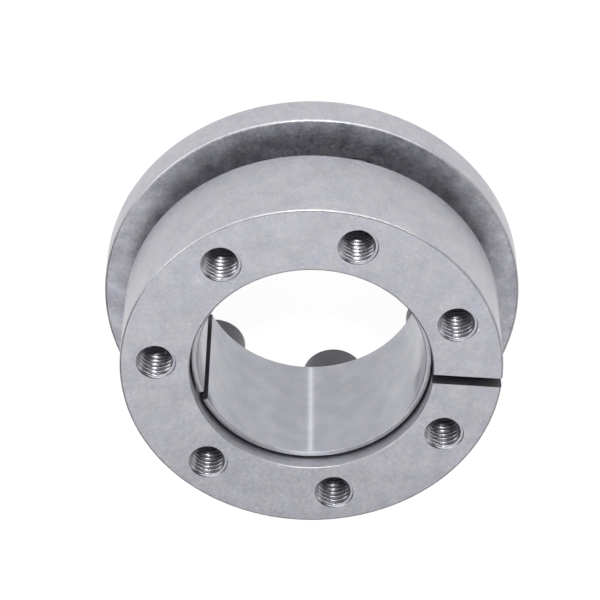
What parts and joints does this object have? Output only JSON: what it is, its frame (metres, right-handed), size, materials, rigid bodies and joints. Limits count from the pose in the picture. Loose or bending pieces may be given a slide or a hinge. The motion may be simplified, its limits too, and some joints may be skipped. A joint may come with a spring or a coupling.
{
  "type": "keyless locking device",
  "caption": "Clamps a hub to a plain round shaft: socket head screws draw a slit, threaded outer ring along a tapered, slit sleeve that has a flange at its back.",
  "frame": {"origin": "on the device's axis, at the level of the screw heads' ends, on which it stands", "axes": "+Z along the axis, from the screw heads to the threaded face; the slit of the outer ring lies near +X"},
  "size_m": [0.084, 0.084, 0.041],
  "materials": {
    "inner_ring_steel": "fine turned, bare",
    "outer_ring_steel": "fine turned, bare",
    "screw_steel": "dark grey, satin"
  },
  "bodies": {
    "inner_ring": {"inner_ring": "inner_ring_steel"},
    "outer_ring": {"outer_ring": "outer_ring_steel"},
    "screw_1": {"screw_1": "screw_steel"},
    "screw_2": {"screw_2": "screw_steel"},
    "screw_3": {"screw_3": "screw_steel"},
    "screw_4": {"screw_4": "screw_steel"},
    "screw_5": {"screw_5": "screw_steel"},
    "screw_6": {"screw_6": "screw_steel"},
    "screw_7": {"screw_7": "screw_steel"}
  },
  "joints": [
    {"name": "outer_ring_slide", "type": "slide", "parent": "inner_ring", "child": "outer_ring", "axis": [0, 0, 1], "range_m": [-0.00125, 0.005]},
    {"name": "screw_1_turn", "type": "hinge", "parent": "inner_ring", "child": "screw_1", "pos_m": [0.02812, 0.01148, 0], "axis": [0, 0, 1], "range_deg": [-1441, 361]},
    {"name": "screw_2_turn", "type": "hinge", "parent": "inner_ring", "child": "screw_2", "pos_m": [0.00856, 0.02914, 0], "axis": [0, 0, 1], "range_deg": [-1441, 361]},
    {"name": "screw_3_turn", "type": "hinge", "parent": "inner_ring", "child": "screw_3", "pos_m": [-0.01745, 0.02486, 0], "axis": [0, 0, 1], "range_deg": [-1441, 361]},
    {"name": "screw_4_turn", "type": "hinge", "parent": "inner_ring", "child": "screw_4", "pos_m": [-0.03032, 0.00186, 0], "axis": [0, 0, 1], "range_deg": [-1441, 361]},
    {"name": "screw_5_turn", "type": "hinge", "parent": "inner_ring", "child": "screw_5", "pos_m": [-0.02036, -0.02254, 0], "axis": [0, 0, 1], "range_deg": [-1441, 361]},
    {"name": "screw_6_turn", "type": "hinge", "parent": "inner_ring", "child": "screw_6", "pos_m": [0.00493, -0.02997, 0], "axis": [0, 0, 1], "range_deg": [-1441, 361]},
    {"name": "screw_7_turn", "type": "hinge", "parent": "inner_ring", "child": "screw_7", "pos_m": [0.02651, -0.01483, 0], "axis": [0, 0, 1], "range_deg": [-1441, 361]}
  ],
  "couplings": [
    {"joint": "screw_1_turn", "follows": "outer_ring_slide", "rad_per_m": -5026.5},
    {"joint": "screw_2_turn", "follows": "outer_ring_slide", "rad_per_m": -5026.5},
    {"joint": "screw_3_turn", "follows": "outer_ring_slide", "rad_per_m": -5026.5},
    {"joint": "screw_4_turn", "follows": "outer_ring_slide", "rad_per_m": -5026.5},
    {"joint": "screw_5_turn", "follows": "outer_ring_slide", "rad_per_m": -5026.5},
    {"joint": "screw_6_turn", "follows": "outer_ring_slide", "rad_per_m": -5026.5},
    {"joint": "screw_7_turn", "follows": "outer_ring_slide", "rad_per_m": -5026.5}
  ]
}
